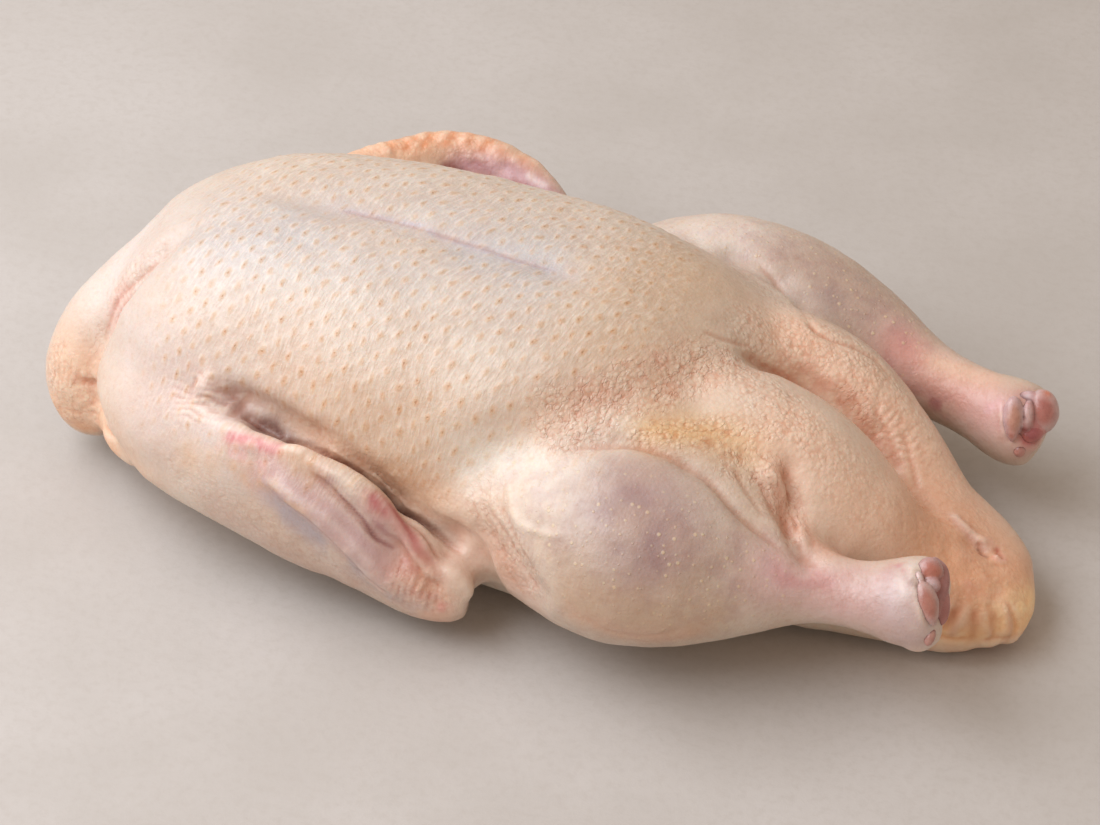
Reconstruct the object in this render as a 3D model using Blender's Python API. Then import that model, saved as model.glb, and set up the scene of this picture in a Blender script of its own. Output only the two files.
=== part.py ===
"""A whole oven-ready duck lying on its back, breast up, as one solid.

Units are metres. +X runs from the neck to the tail, +Z is up, and Z = 0 is the surface it lies on.
The sculpting tables are in the millimetres of a bird 386 mm long, which is scaled to LENGTH at the end.
Each limb is a loft: rings swept along a smooth spine. The lofts overlap, a voxel remesh fuses them into
one closed skin, and smoothing turns the joins into the soft webs that skin makes over meat.
"""

import bmesh
import bpy
import numpy as np

MM = 0.001
LENGTH = 0.36
VOXEL = 2.2 * MM
BODY_SMOOTH_STEPS = 26
LOBE_SMOOTH_STEPS = 10
WING_SMOOTH_STEPS = 5
FLAT_SPOT = 1.2 * MM
FADE = 4.0
TINY = 1e-12
THINNING = 0.1
SIDES = 40
RING_STEP = 3.0 * MM
SPLINE_STEPS = 24
FOLD_STEPS = 40
KNUCKLE_REACH = 26.0 * MM
KNUCKLE_SLACK = 1.5 * MM


def clear_scene():
    for obj in list(bpy.data.objects):
        bpy.data.objects.remove(obj)


def spline(rows, count):
    """Points on the centripetal Catmull-Rom curve through rows, spaced evenly along it."""
    knots = np.concatenate([[2 * rows[0] - rows[1]], rows, [2 * rows[-1] - rows[-2]]])
    dense = []
    for i in range(1, len(knots) - 2):
        p0, p1, p2, p3 = knots[i - 1 : i + 3]
        t0 = 0.0
        t1 = t0 + np.linalg.norm((p1 - p0)[:3]) ** 0.5
        t2 = t1 + np.linalg.norm((p2 - p1)[:3]) ** 0.5
        t3 = t2 + np.linalg.norm((p3 - p2)[:3]) ** 0.5
        t = np.linspace(t1, t2, SPLINE_STEPS, endpoint=False)[:, None]
        a1 = (t1 - t) / (t1 - t0) * p0 + (t - t0) / (t1 - t0) * p1
        a2 = (t2 - t) / (t2 - t1) * p1 + (t - t1) / (t2 - t1) * p2
        a3 = (t3 - t) / (t3 - t2) * p2 + (t - t2) / (t3 - t2) * p3
        b1 = (t2 - t) / (t2 - t0) * a1 + (t - t0) / (t2 - t0) * a2
        b2 = (t3 - t) / (t3 - t1) * a2 + (t - t1) / (t3 - t1) * a3
        dense.append((t2 - t) / (t2 - t1) * b1 + (t - t1) / (t2 - t1) * b2)
    dense = np.concatenate([*dense, rows[-1:]])
    steps = np.linalg.norm(np.diff(dense[:, :3], axis=0), axis=1)
    along = np.concatenate([[0], np.cumsum(steps)])
    wanted = np.linspace(0, along[-1], count)
    return np.stack([np.interp(wanted, along, column) for column in dense.T], axis=1)


def add_loft(mesh, stations, power=2.0, up=(0, 0, 1)):
    """Adds a closed tube through stations of (x, y, z, half width, rise, drop, roll in degrees), in mm."""
    rows = np.asarray(stations, float)
    rows[:, :6] *= MM
    length = np.linalg.norm(np.diff(rows[:, :3], axis=0), axis=1).sum()
    rows = spline(rows, max(8, int(length / RING_STEP)))
    tangents = np.gradient(rows[:, :3], axis=0)
    angles = np.linspace(0, 2 * np.pi, SIDES, endpoint=False)
    across = np.sign(np.cos(angles)) * np.abs(np.cos(angles)) ** (2 / power)
    upward = np.sign(np.sin(angles)) * np.abs(np.sin(angles)) ** (2 / power)
    rings = []
    for row, tangent in zip(rows, tangents):
        tangent = tangent / np.linalg.norm(tangent)
        side = np.cross(up, tangent)
        side /= np.linalg.norm(side)
        lift = np.cross(tangent, side)
        roll = np.radians(row[6])
        side, lift = (
            side * np.cos(roll) + lift * np.sin(roll),
            lift * np.cos(roll) - side * np.sin(roll),
        )
        height = np.where(upward > 0, row[4], row[5]) * upward
        points = row[:3] + np.outer(across * row[3], side) + np.outer(height, lift)
        rings.append([mesh.verts.new(p) for p in points])
    for ring, following in zip(rings, rings[1:]):
        for i in range(SIDES):
            j = (i + 1) % SIDES
            mesh.faces.new((ring[i], ring[j], following[j], following[i]))
    mesh.faces.new(rings[0][::-1])
    mesh.faces.new(rings[-1])


TORSO = [
    (-166, 8, 44, 20, 15, 20, 0),
    (-156, 9, 48, 42, 34, 38, 0),
    (-140, 10, 51, 57, 52, 47, 0),
    (-112, 10.5, 53, 69, 64, 52, 0),
    (-72, 11, 54, 76, 67, 54, 0),
    (-25, 11, 54, 76.5, 65, 54, 0),
    (20, 11, 54, 73, 60, 54, 0),
    (52, 10.5, 52, 65, 50, 52, 0),
    (80, 9, 47, 54, 35, 47, 0),
    (110, 6, 40, 45, 20, 40, 0),
    (140, 2, 31, 37, 15, 30, 0),
    (165, -3, 22, 31, 13, 21, 0),
    (183, -10, 15, 20, 10, 13, 0),
    (193, -12, 12, 7, 5, 7, 0),
]
BACK = [
    (-130, 8, 20, 30, 14, 18, 0),
    (-90, 9, 22, 46, 20, 22, 0),
    (-40, 9, 23, 60, 24, 23, 0),
    (5, 9, 24, 72, 26, 24, 0),
    (35, 9, 23, 74, 24, 23, 0),
    (60, 9, 20, 66, 22, 20, 0),
    (90, 8, 17, 56, 20, 17, 0),
    (118, 5, 15, 46, 16, 15, 0),
    (150, -2, 13, 36, 12, 13, 0),
    (178, -11, 11, 24, 9, 11, 0),
]
NEAR_FLANK = [
    (-34, -54, 30, 14, 16, 16, 0),
    (-10, -54, 40, 22, 20, 24, 0),
    (18, -50, 54, 28, 22, 28, 0),
    (44, -44, 62, 28, 24, 28, 0),
    (70, -34, 62, 26, 24, 26, 0),
    (92, -24, 54, 22, 20, 22, 0),
]
NEAR_LEG = [
    (0, -44, 44, 22, 22, 22, 0),
    (24, -51, 47, 35, 31, 32, 0),
    (52, -55, 48, 43, 37, 36, 0),
    (78, -56, 47, 38, 33, 32, 0),
    (103, -56, 45, 25, 23, 22, 0),
    (126, -56, 44, 14, 14, 13, 0),
    (144, -56, 44, 13, 13, 13, 0),
    (158, -55, 45, 18, 18, 16, 0),
    (168, -54, 45, 17, 17, 15, 0),
]
FAR_FLANK = [
    (-20, 68, 48, 18, 18, 20, 0),
    (10, 72, 56, 24, 20, 24, 0),
    (40, 68, 60, 26, 22, 26, 0),
    (68, 56, 60, 26, 22, 26, 0),
    (90, 44, 54, 22, 20, 22, 0),
]
FAR_LEG = [
    (0, 62, 48, 20, 20, 20, 0),
    (20, 76, 50, 34, 32, 32, 0),
    (45, 88, 50, 42, 34, 35, 0),
    (70, 92, 48, 37, 31, 32, 0),
    (100, 89, 44, 26, 24, 22, 0),
    (130, 81, 40, 15, 15, 15, 0),
    (150, 76, 37, 14, 15, 15, 0),
    (165, 72, 35, 17, 18, 17, 0),
    (175, 70, 34, 16, 17, 15, 0),
]
NEAR_LOBE = [
    (28, -4, 60, 24, 24, 24, 0),
    (60, -9, 62, 32, 30, 28, 0),
    (84, -12, 58, 34, 32, 32, 0),
    (104, -12, 50, 34, 31, 36, 0),
    (126, -12, 40, 28, 24, 30, 0),
    (152, -9, 27, 17, 12, 20, 0),
]
FAR_LOBE = [
    (30, 28, 60, 22, 22, 20, 0),
    (70, 39, 60, 27, 27, 26, 0),
    (100, 41, 50, 27, 27, 30, 0),
    (125, 33, 39, 22, 21, 26, 0),
    (150, 20, 28, 15, 13, 16, 0),
]
NECK_FLAP = [
    (-136, 30, 82, 14, 12, 12, 0),
    (-150, 20, 74, 20, 13, 14, 0),
    (-164, 8, 62, 22, 15, 16, 0),
    (-174, -3, 46, 23, 16, 18, 0),
    (-176, -8, 28, 21, 15, 18, 0),
    (-172, -10, 14, 14, 10, 12, 0),
    (-171, -10, 7, 6, 5, 5, 0),
]
NEAR_SHOULDER = [
    (-150, -14, 50, 20, 20, 20, 0),
    (-134, -34, 50, 24, 22, 24, 0),
    (-112, -46, 48, 24, 20, 26, 0),
    (-92, -50, 44, 18, 14, 20, 0),
    (-76, -52, 38, 9, 9, 10, 0),
]
NEAR_WING = [
    (-146, -30, 46, 20, 12, 14, -100),
    (-125, -50, 47, 23, 13, 13, -98),
    (-102, -62, 48, 24, 11, 11, -94),
    (-82, -69, 48, 26, 9, 10, -92),
    (-62, -73, 45, 27, 8, 10, -90),
    (-46, -75, 41, 26, 8, 10, -88),
    (-32, -76, 33, 20, 8, 10, -86),
    (-16, -77, 26, 16, 9, 11, -82),
    (-3, -78, 22, 10, 8, 9, -78),
    (3, -78, 20, 6, 5, 5, -75),
]
NEAR_WING_TIP = [
    (-44, -69, 44, 6, 6, 6, 0),
    (-28, -70, 42, 9, 9, 9, 0),
    (-14, -73, 37, 11, 11, 11, 0),
    (-3, -76, 30, 10, 10, 10, 0),
    (4, -78, 24, 7, 7, 7, 0),
]
NECK_FAT = [
    (-166, -14, 26, 8, 8, 8, 0),
    (-158, -26, 27, 8, 8, 8, 0),
    (-148, -37, 27, 8, 8, 8, 0),
    (-138, -44, 27, 6, 6, 6, 0),
]
FAR_WEB = [
    (-122, 66, 48, 20, 8, 12, 0),
    (-95, 84, 44, 34, 7, 12, 0),
    (-65, 98, 40, 34, 6, 12, 0),
    (-38, 98, 36, 26, 6, 10, 0),
    (-20, 94, 32, 14, 5, 8, 0),
]
FAR_WING = [
    (-140, 60, 54, 18, 14, 14, 70),
    (-115, 97, 56, 20, 12, 12, 75),
    (-84, 129, 57, 20, 11, 11, 80),
    (-54, 131, 52, 20, 10, 10, 80),
    (-32, 119, 43, 17, 9, 9, 75),
    (-18, 110, 35, 13, 8, 8, 70),
    (-10, 106, 31, 6, 5, 5, 70),
]


# Creases and ridges: (spread, depth, points along it), all in mm. A negative depth raises a ridge.
FOLDS = [
    # between the two belly lobes
    (4.5, 8.0, [(74, 6, 92), (84, 14, 83), (97, 22, 69), (119, 18, 54), (133, 9, 48), (158, 0, 38)]),
    # round the top of the near drumstick
    (2.6, 4.0, [(28, -57, 82), (53, -49, 86), (68, -50, 84), (83, -52, 79), (96, -58, 72), (120, -62, 59)]),
    # between the breast and the near thigh
    (10.0, 3.2, [(-12, -66, 66), (20, -53, 88), (38, -41, 94), (53, -30, 95), (72, -10, 92)]),
    # between the near lobe and the drumstick
    (4.0, 6.5, [(102, -32, 78), (107, -39, 73), (111, -44, 66), (119, -57, 60), (126, -62, 56)]),
    # beside the far thigh
    (5.0, 5.0, [(44, 80, 86), (60, 78, 80), (72, 74, 76), (90, 62, 70)]),
    # between the neck flap and the breast
    (5.0, 5.0, [(-126, -6, 112), (-146, -20, 95), (-156, -24, 80), (-162, -24, 64), (-165, -26, 40)]),
    # the near armpit, then the gap between the wing and the body, down to the wing's tip
    (5.0, 9.0, [(-104, -55, 76), (-85, -58, 72), (-74, -60, 68), (-54, -62, 62)]),
    (3.0, 7.0, [(-64, -64, 68), (-42, -66, 62), (-32, -66, 54), (-20, -66, 46), (-6, -66, 36)]),
    (3.5, 7.0, [(-14, -67, 43), (0, -69, 38), (7, -73, 30), (8, -76, 22), (7, -76, 14)]),
    # the groove, the bone and the second lobe on the near wing
    (2.6, 5.0, [(-66, -84, 70), (-47, -86, 62), (-36, -86, 54), (-24, -87, 42), (-16, -87, 34)]),
    (3.6, -5.0, [(-78, -84, 64), (-62, -86, 58), (-45, -87, 47), (-30, -88, 34), (-20, -88, 26)]),
    (2.4, 5.0, [(-34, -80, 50), (-24, -82, 44), (-16, -84, 39), (-8, -85, 30), (-4, -85, 22)]),
    # the near waist
    (9.0, 4.5, [(-12, -74, 42), (6, -76, 50), (20, -82, 50), (36, -94, 38)]),
    # over the keel, and the vent
    (7.0, 2.5, [(-110, 7, 118), (-69, 6, 121), (-42, 4, 120), (-14, 3, 118), (26, 1, 112)]),
    (3.0, 3.5, [(164, -2, 37), (173, -3, 34), (181, -4, 29)]),
]
RIB_SPREAD = 3.0
RIB_HEIGHT = 2.5
TAIL_RIBS = [(148, -31, 14), (156, -30, 13), (164, -29, 12), (172, -27, 11), (180, -24, 10), (187, -19, 9)]
KNUCKLES = [
    # centre of the cut face, the way it faces, then (sideways, up, spread, height) of each bump on it.
    ((167, -56, 46), (1, 0, 0), [(2, 6, 6, 4.5), (-7, -4, 6, 4.0)]),
    ((174, 70, 35), (0.97, -0.24, -0.06), [(6, 4, 6, 4.5), (-6, 1, 6, 4.0)]),
]


def fused(name, mesh, smooth_steps):
    """An object whose overlapping shells become one skin, with its joins smoothed into webs."""
    bmesh.ops.recalc_face_normals(mesh, faces=mesh.faces)
    data = bpy.data.meshes.new(name)
    mesh.to_mesh(data)
    mesh.free()
    obj = bpy.data.objects.new(name, data)
    bpy.context.scene.collection.objects.link(obj)
    fuse = obj.modifiers.new("fuse", "REMESH")
    fuse.mode = "VOXEL"
    fuse.voxel_size = VOXEL
    soften = obj.modifiers.new("soften", "SMOOTH")
    soften.factor = 0.5
    soften.iterations = smooth_steps
    return obj


def baked(obj):
    """A bmesh of the object with its modifiers applied. The object is removed."""
    graph = bpy.context.evaluated_depsgraph_get()
    graph.update()
    mesh = bmesh.new()
    mesh.from_mesh(obj.evaluated_get(graph).to_mesh())
    bpy.data.objects.remove(obj)
    return mesh


def fold(points, normals, spread, depth, curve):
    """Sinks (or raises) the skin along a curve laid on it, fading out towards both of its ends."""
    rows = spline(np.asarray(curve, float) * MM, FOLD_STEPS)
    rows = points[[np.argmin(((points - row) ** 2).sum(axis=1)) for row in rows]]
    nearest = np.full(len(points), np.inf)
    along = np.zeros(len(points))
    for i, (start, end) in enumerate(zip(rows, rows[1:])):
        step = end - start
        t = np.clip((points - start) @ step / max(step @ step, TINY), 0, 1)
        distance = np.linalg.norm(points - start - t[:, None] * step, axis=1)
        closer = distance < nearest
        nearest[closer] = distance[closer]
        along[closer] = (i + t[closer]) / (len(rows) - 1)
    fade = np.clip(np.minimum(along, 1 - along) * FADE, 0, 1)
    amount = depth * MM * fade * (2 - fade) * np.exp(-((nearest / (spread * MM)) ** 2))
    return points - normals * amount[:, None]


def cut_knuckle(points, centre, facing, bumps):
    """Flattens the end of a leg bone to a plane, then raises its rounded condyles on it."""
    centre = np.asarray(centre, float) * MM
    facing = np.asarray(facing, float) / np.linalg.norm(facing)
    side = np.cross((0, 0, 1), facing)
    side /= np.linalg.norm(side)
    up = np.cross(facing, side)
    away = points - centre
    out = away @ facing
    close = np.linalg.norm(away, axis=1) < KNUCKLE_REACH
    flat = close & (out > -KNUCKLE_SLACK)
    lift = np.zeros(len(points))
    for across, above, spread, height in bumps:
        gap = np.hypot(away @ side - across * MM, away @ up - above * MM)
        lift += height * MM * np.exp(-((gap / (spread * MM)) ** 4))
    points[flat] += np.outer((lift - out)[flat], facing)
    return points


def ribs(points, normals):
    """Raises the row of quill bumps along the edge of the tail."""
    for centre in TAIL_RIBS:
        gap = np.linalg.norm((points - np.asarray(centre) * MM) * (1, 1, 0.5), axis=1)
        points = points + normals * (RIB_HEIGHT * MM * np.exp(-((gap / (RIB_SPREAD * MM)) ** 2)))[:, None]
    return points


def read_skin(data):
    """The points of a mesh and the normals at them."""
    points = np.empty(len(data.vertices) * 3)
    data.vertices.foreach_get("co", points)
    normals = np.empty(len(data.vertices) * 3)
    data.vertex_normals.foreach_get("vector", normals)
    return points.reshape(-1, 3), normals.reshape(-1, 3)


def relief(mesh):
    """Sculpts the folds and bone ends into the skin."""
    data = bpy.data.meshes.new("relief")
    mesh.to_mesh(data)
    mesh.free()
    for spread, depth, curve in FOLDS:
        points = fold(*read_skin(data), spread, depth, curve)
        data.vertices.foreach_set("co", points.ravel())
        data.update()
    points = ribs(*read_skin(data))
    for centre, facing, bumps in KNUCKLES:
        points = cut_knuckle(points, centre, facing, bumps)
    data.vertices.foreach_set("co", points.ravel())
    data.update()
    mesh = bmesh.new()
    mesh.from_mesh(data)
    return mesh


def settled(mesh):
    """Flattens the spot it rests on, scales it to its length and centres its box over the origin."""
    points = np.array([vertex.co for vertex in mesh.verts])
    low, high = points.min(axis=0), points.max(axis=0)
    floor = low[2] + FLAT_SPOT
    points[:, 2] = np.maximum(points[:, 2], floor)
    origin = np.array(((low[0] + high[0]) / 2, (low[1] + high[1]) / 2, floor))
    points = (points - origin) * (LENGTH / (high[0] - low[0]))
    for vertex, point in zip(mesh.verts, points):
        vertex.co = point
    return mesh


def skin():
    """Pale raw duck skin."""
    material = bpy.data.materials.new("skin")
    material.use_nodes = True
    surface = material.node_tree.nodes["Principled BSDF"]
    surface.inputs["Base Color"].default_value = (0.66, 0.47, 0.35, 1.0)
    surface.inputs["Roughness"].default_value = 0.42
    return material


def duck():
    mesh = bmesh.new()
    add_loft(mesh, TORSO, power=2.4)
    add_loft(mesh, BACK, power=2.6)
    for stations in (NEAR_FLANK, NEAR_LEG, FAR_FLANK, FAR_LEG, NEAR_SHOULDER, FAR_WEB):
        add_loft(mesh, stations)
    add_loft(mesh, NECK_FLAP, up=(1, 0, 0))
    mesh = baked(fused("body", mesh, BODY_SMOOTH_STEPS))
    for stations in (NEAR_LOBE, FAR_LOBE, NECK_FAT):
        add_loft(mesh, stations)
    mesh = baked(fused("lobes", mesh, LOBE_SMOOTH_STEPS))
    add_loft(mesh, NEAR_WING, power=2.4)
    add_loft(mesh, NEAR_WING_TIP)
    add_loft(mesh, FAR_WING)
    mesh = baked(fused("wings", mesh, WING_SMOOTH_STEPS))
    sculpted = fused("sculpted", relief(mesh), 1)
    thin = sculpted.modifiers.new("thin", "DECIMATE")
    thin.ratio = THINNING
    mesh = settled(baked(sculpted))
    bmesh.ops.triangulate(mesh, faces=mesh.faces)
    data = bpy.data.meshes.new("duck")
    mesh.to_mesh(data)
    mesh.free()
    data.shade_smooth()
    data.materials.append(skin())
    bpy.context.scene.collection.objects.link(bpy.data.objects.new("duck", data))


clear_scene()
duck()
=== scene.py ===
"""A raw whole duck on its back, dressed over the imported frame."""
import math
from itertools import product

import bmesh
import bpy
import numpy as np
from mathutils import Euler, Matrix, Vector
from mathutils.bvhtree import BVHTree


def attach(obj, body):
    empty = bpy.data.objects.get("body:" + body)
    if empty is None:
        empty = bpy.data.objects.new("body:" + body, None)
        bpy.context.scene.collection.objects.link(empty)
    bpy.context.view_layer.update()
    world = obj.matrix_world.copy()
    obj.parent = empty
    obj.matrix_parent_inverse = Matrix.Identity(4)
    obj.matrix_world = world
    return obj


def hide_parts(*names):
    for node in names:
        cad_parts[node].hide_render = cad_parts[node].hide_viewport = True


# The tables below are in the millimetres of the drawing that the part was modelled from.
DRAWN_ORIGIN = np.array((-0.77, 22.86, 1.13))
METRES_PER_DRAWN_MM = 0.93293e-3

VOXEL = 0.001
JOINT_VOXEL = 0.0004
SMOOTH_STEPS = 30
SMOOTH_IN = 0.6
SMOOTH_OUT = -0.61
JOINT_SMOOTH_STEPS = 10
# only the lines and spots that are wider than this have wandering edges
NARROW = 3.5
WANDER_SEEDS = (41, 43, 47)

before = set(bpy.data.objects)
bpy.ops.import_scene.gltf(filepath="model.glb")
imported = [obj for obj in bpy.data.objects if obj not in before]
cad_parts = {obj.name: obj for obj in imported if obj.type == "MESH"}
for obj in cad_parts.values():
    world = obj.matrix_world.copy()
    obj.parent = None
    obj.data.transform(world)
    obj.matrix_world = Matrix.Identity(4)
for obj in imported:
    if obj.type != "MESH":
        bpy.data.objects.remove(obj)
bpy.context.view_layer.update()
scene = bpy.context.scene


def linked(name, data):
    """A new object of the scene."""
    obj = bpy.data.objects.new(name, data)
    scene.collection.objects.link(obj)
    return obj


# ---------------- places
def placed(point):
    """A drawn point in metres in the frame."""
    return (np.asarray(point, float) - DRAWN_ORIGIN) * METRES_PER_DRAWN_MM


def drawn(metres):
    """Points of the frame in the drawing's millimetres."""
    return np.asarray(metres, float) / METRES_PER_DRAWN_MM + DRAWN_ORIGIN


# ---------------- camera, floor and light
AZIMUTH = math.radians(19.0)
ELEVATION = math.radians(36.5)
DISTANCE = 1450.0 * METRES_PER_DRAWN_MM
LENS = 125.76
TARGET = (-4.2, 28.3, 30.0)
SOFTBOX_LENGTH = 1.5
SOFTBOX_HEIGHT = 0.85
SOFTBOX_DISTANCE = 1.08
SOFTBOX_RISE = math.radians(52.0)
SOFTBOX_TURN = math.radians(-6.0)
SOFTBOX_WATTS = 13.8
SOFTBOX_COLOUR = (0.945, 0.99, 1.06)
SOFTBOX_AIM = (0.0, 0.0, 0.03)
ROOM_COLOUR = (1.0, 0.84, 0.695, 1.0)
ROOM_GLOW = 0.55
FLOOR_REACH = 6.0

RIGHT = Vector((math.cos(AZIMUTH), math.sin(AZIMUTH), 0.0))
AWAY = Vector((-math.sin(AZIMUTH), math.cos(AZIMUTH), 0.0))
UP = Vector((0.0, 0.0, 1.0))


def aimed(obj, target):
    obj.rotation_euler = (Vector(target) - obj.location).to_track_quat("-Z", "Y").to_euler()


def add_camera():
    camera = linked("camera", bpy.data.cameras.new("camera"))
    target = Vector(placed(TARGET))
    back = -AWAY * math.cos(ELEVATION) + UP * math.sin(ELEVATION)
    camera.location = target + back * DISTANCE
    camera.data.lens = LENS
    camera.data.clip_start = 0.01
    camera.data.clip_end = 20.0
    aimed(camera, target)
    scene.camera = camera


def add_lights():
    """One long soft box on the left, a little behind the object, and a warm even glow from the room."""
    lamp = bpy.data.lights.new("softbox", "AREA")
    lamp.shape = "RECTANGLE"
    lamp.size = SOFTBOX_LENGTH
    lamp.size_y = SOFTBOX_HEIGHT
    lamp.energy = SOFTBOX_WATTS
    lamp.color = SOFTBOX_COLOUR
    box = linked("softbox", lamp)
    level = -RIGHT * math.cos(SOFTBOX_TURN) + AWAY * math.sin(SOFTBOX_TURN)
    box.location = (level * math.cos(SOFTBOX_RISE) + UP * math.sin(SOFTBOX_RISE)) * SOFTBOX_DISTANCE
    aimed(box, SOFTBOX_AIM)
    world = bpy.data.worlds.new("studio")
    world.use_nodes = True
    back = world.node_tree.nodes["Background"]
    back.inputs["Color"].default_value = ROOM_COLOUR
    back.inputs["Strength"].default_value = ROOM_GLOW
    scene.world = world
    scene.view_settings.view_transform = "Standard"


# ---------------- noise and curves
def hashed(cell, seed):
    """A repeatable number from 0 to 1 for each whole-number cell."""
    x, y, z = (cell[..., axis].astype(np.int64).astype(np.uint32) for axis in range(3))
    n = (x * np.uint32(0x9E3779B1)) ^ (y * np.uint32(0x85EBCA77)) ^ (z * np.uint32(0xC2B2AE3D))
    n ^= np.uint32((seed * 668265263) & 0xFFFFFFFF)
    for shift, factor in ((15, 0x2C1B3C6D), (12, 0x297A2D39)):
        n ^= n >> np.uint32(shift)
        n *= np.uint32(factor)
    n ^= n >> np.uint32(15)
    return n.astype(np.float64) / 4294967296.0


def noise(places, size, seed):
    """Smooth noise from -1 to 1 with bumps of about the given size."""
    scaled = places / size
    base = np.floor(scaled)
    part = scaled - base
    part = part * part * (3.0 - 2.0 * part)
    total = np.zeros(len(places))
    for corner in product((0, 1), repeat=3):
        share = np.prod(np.where(np.array(corner, bool), part, 1.0 - part), axis=1)
        total += share * hashed(base + corner, seed)
    return 2.0 * total - 1.0


def smooth_line(points, step=3.0):
    """A curve through the points, as points about a step apart."""
    points = np.asarray(points, float)
    if len(points) == 1:
        return np.vstack((points, points))
    ends = np.vstack((2 * points[0] - points[1], points, 2 * points[-1] - points[-2]))
    line = []
    for k in range(len(points) - 1):
        a, b, c, d = ends[k:k + 4]
        count = max(2, int(np.linalg.norm(c - b) / step))
        t = (np.arange(count) / count)[:, None]
        line.append(0.5 * (2 * b + (c - a) * t + (2 * a - 5 * b + 4 * c - d) * t ** 2
                           + (3 * b - a - 3 * c + d) * t ** 3))
    line.append(points[-1:])
    return np.vstack(line)


def to_line(places, line, reach):
    """Which points are within reach of a line, their distance, and how far along it they are, from 0 to 1."""
    low, high = line.min(0) - reach, line.max(0) + reach
    inside = np.flatnonzero(((places > low) & (places < high)).all(1))
    near = places[inside]
    best = np.full(len(inside), 1e18)
    where = np.zeros(len(inside))
    for k, (start, end) in enumerate(zip(line, line[1:])):
        step = end - start
        t = np.clip((near - start) @ step / max(step @ step, 1e-9), 0.0, 1.0)
        gap = ((near - start - t[:, None] * step) ** 2).sum(1)
        closer = gap < best
        best[closer] = gap[closer]
        where[closer] = k + t[closer]
    keep = best < reach * reach
    return inside[keep], np.sqrt(best[keep]), where[keep] / (len(line) - 1)


def ease(value, low, high):
    """0 below low, 1 above high, and smooth between."""
    t = np.clip((value - low) / (high - low), 0.0, 1.0)
    return t * t * (3.0 - 2.0 * t)


def tapered(along, share):
    """1 along a line, fading to 0 over a share of its length at each end."""
    return ease(along, -0.001, share) * ease(1.0 - along, -0.001, share)


# ---------------- the skin as arrays
class Skin:
    """The skin's points in drawn millimetres, with sculpting and painting on them."""

    def __init__(self, mesh):
        self.mesh = mesh
        self.count = len(mesh.vertices)
        edges = np.empty(len(mesh.edges) * 2, np.int32)
        mesh.edges.foreach_get("vertices", edges)
        self.first, self.second = edges.reshape(-1, 2).T
        self.shares = (np.bincount(self.first, minlength=self.count)
                       + np.bincount(self.second, minlength=self.count))
        self.read()
        self.tint = np.ones((self.count, 3))

    def read(self):
        places = np.empty(self.count * 3, np.float32)
        self.mesh.vertices.foreach_get("co", places)
        self.places = drawn(places.reshape(-1, 3))
        normals = np.empty(self.count * 3, np.float32)
        self.mesh.vertex_normals.foreach_get("vector", normals)
        self.normals = normals.reshape(-1, 3).astype(float)

    def write(self):
        self.mesh.vertices.foreach_set("co", placed(self.places).astype(np.float32).ravel())
        self.mesh.update()
        self.read()

    def around(self, values):
        """The mean of each point's neighbours."""
        return (np.bincount(self.first, values[self.second], self.count)
                + np.bincount(self.second, values[self.first], self.count)) / self.shares

    def inward(self):
        """The way from each point to the middle of its neighbours."""
        return np.stack([self.around(self.places[:, axis]) for axis in range(3)], axis=1) - self.places

    def rounded(self, steps):
        """Wears the facets down, with steps out as well as in so that nothing shrinks."""
        for step in range(steps):
            for pull in (SMOOTH_IN, SMOOTH_OUT):
                self.places += pull * self.inward()
        self.write()

    def wander(self, amount, size):
        """Keeps a bent copy of the places, so that what is wide and painted has uneven edges."""
        bends = [noise(self.places, size, seed) for seed in WANDER_SEEDS]
        self.warped = self.places + amount * np.stack(bends, axis=1)

    def soft(self, values):
        return 0.5 * values + 0.5 * self.around(values)

    def near(self, points, radius):
        """1 on the line through the points, fading to 0 over about the radius."""
        weight = np.zeros(self.count)
        spots = self.warped if radius > NARROW else self.places
        index, gap, along = to_line(spots, smooth_line(points), radius * 2.6)
        weight[index] = np.exp(-(gap / radius) ** 2)
        return weight

    def closest(self, points):
        """The numbers of the skin's points that lie closest to the given ones."""
        return [int(((self.places - np.asarray(point, float)) ** 2).sum(1).argmin()) for point in points]

    def crease(self, spread, depth, points):
        """Pushes a groove in along the line, or a ridge out where the depth is negative."""
        line = smooth_line(self.places[self.closest(points)], 2.0)
        index, gap, along = to_line(self.places, line, spread * 3.0)
        push = depth * np.exp(-(gap / spread) ** 2) * tapered(along, 0.2)
        self.places[index] -= self.normals[index] * push[:, None]

    def ripple(self, spacing, height, reach, line, seed):
        """Raises uneven ridges that cross the line."""
        line = smooth_line(self.places[self.closest(line)])
        index, gap, along = to_line(self.places, line, reach * 2.0)
        length = np.linalg.norm(np.diff(line, axis=0), axis=1).sum()
        places = self.places[index]
        turn = along * length / spacing + 0.9 * noise(places, spacing * 2.2, seed)
        fade = np.exp(-(gap / reach) ** 2) * tapered(along, 0.1)
        fade *= 0.65 + 0.35 * noise(places, spacing * 1.4, seed + 50)
        self.places[index] += self.normals[index] * (height * fade * np.sin(2 * np.pi * turn))[:, None]

    def paint(self, colour, strength, radius, points, patch=0.0):
        if radius > NARROW:
            line = self.warped[self.closest(points)]
        else:
            line = self.places[self.closest(smooth_line(points, 5.0))]
        weight = strength * self.near(line, radius)
        if patch:
            weight *= ease(noise(self.places, patch, int(radius * 7 + patch * 13)), -0.35, 0.5)
        self.blend(colour, weight)

    def blend(self, colour, weight):
        """Moves the tint towards a colour, by each point's own weight."""
        weight = weight[:, None]
        self.tint = self.tint * (1.0 - weight) + linear(colour) * weight


def linear(colour):
    """A screen colour from 0 to 255 as light."""
    value = np.asarray(colour, float) / 255.0
    return np.where(value <= 0.04045, value / 12.92, ((value + 0.055) / 1.055) ** 2.4)


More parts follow.
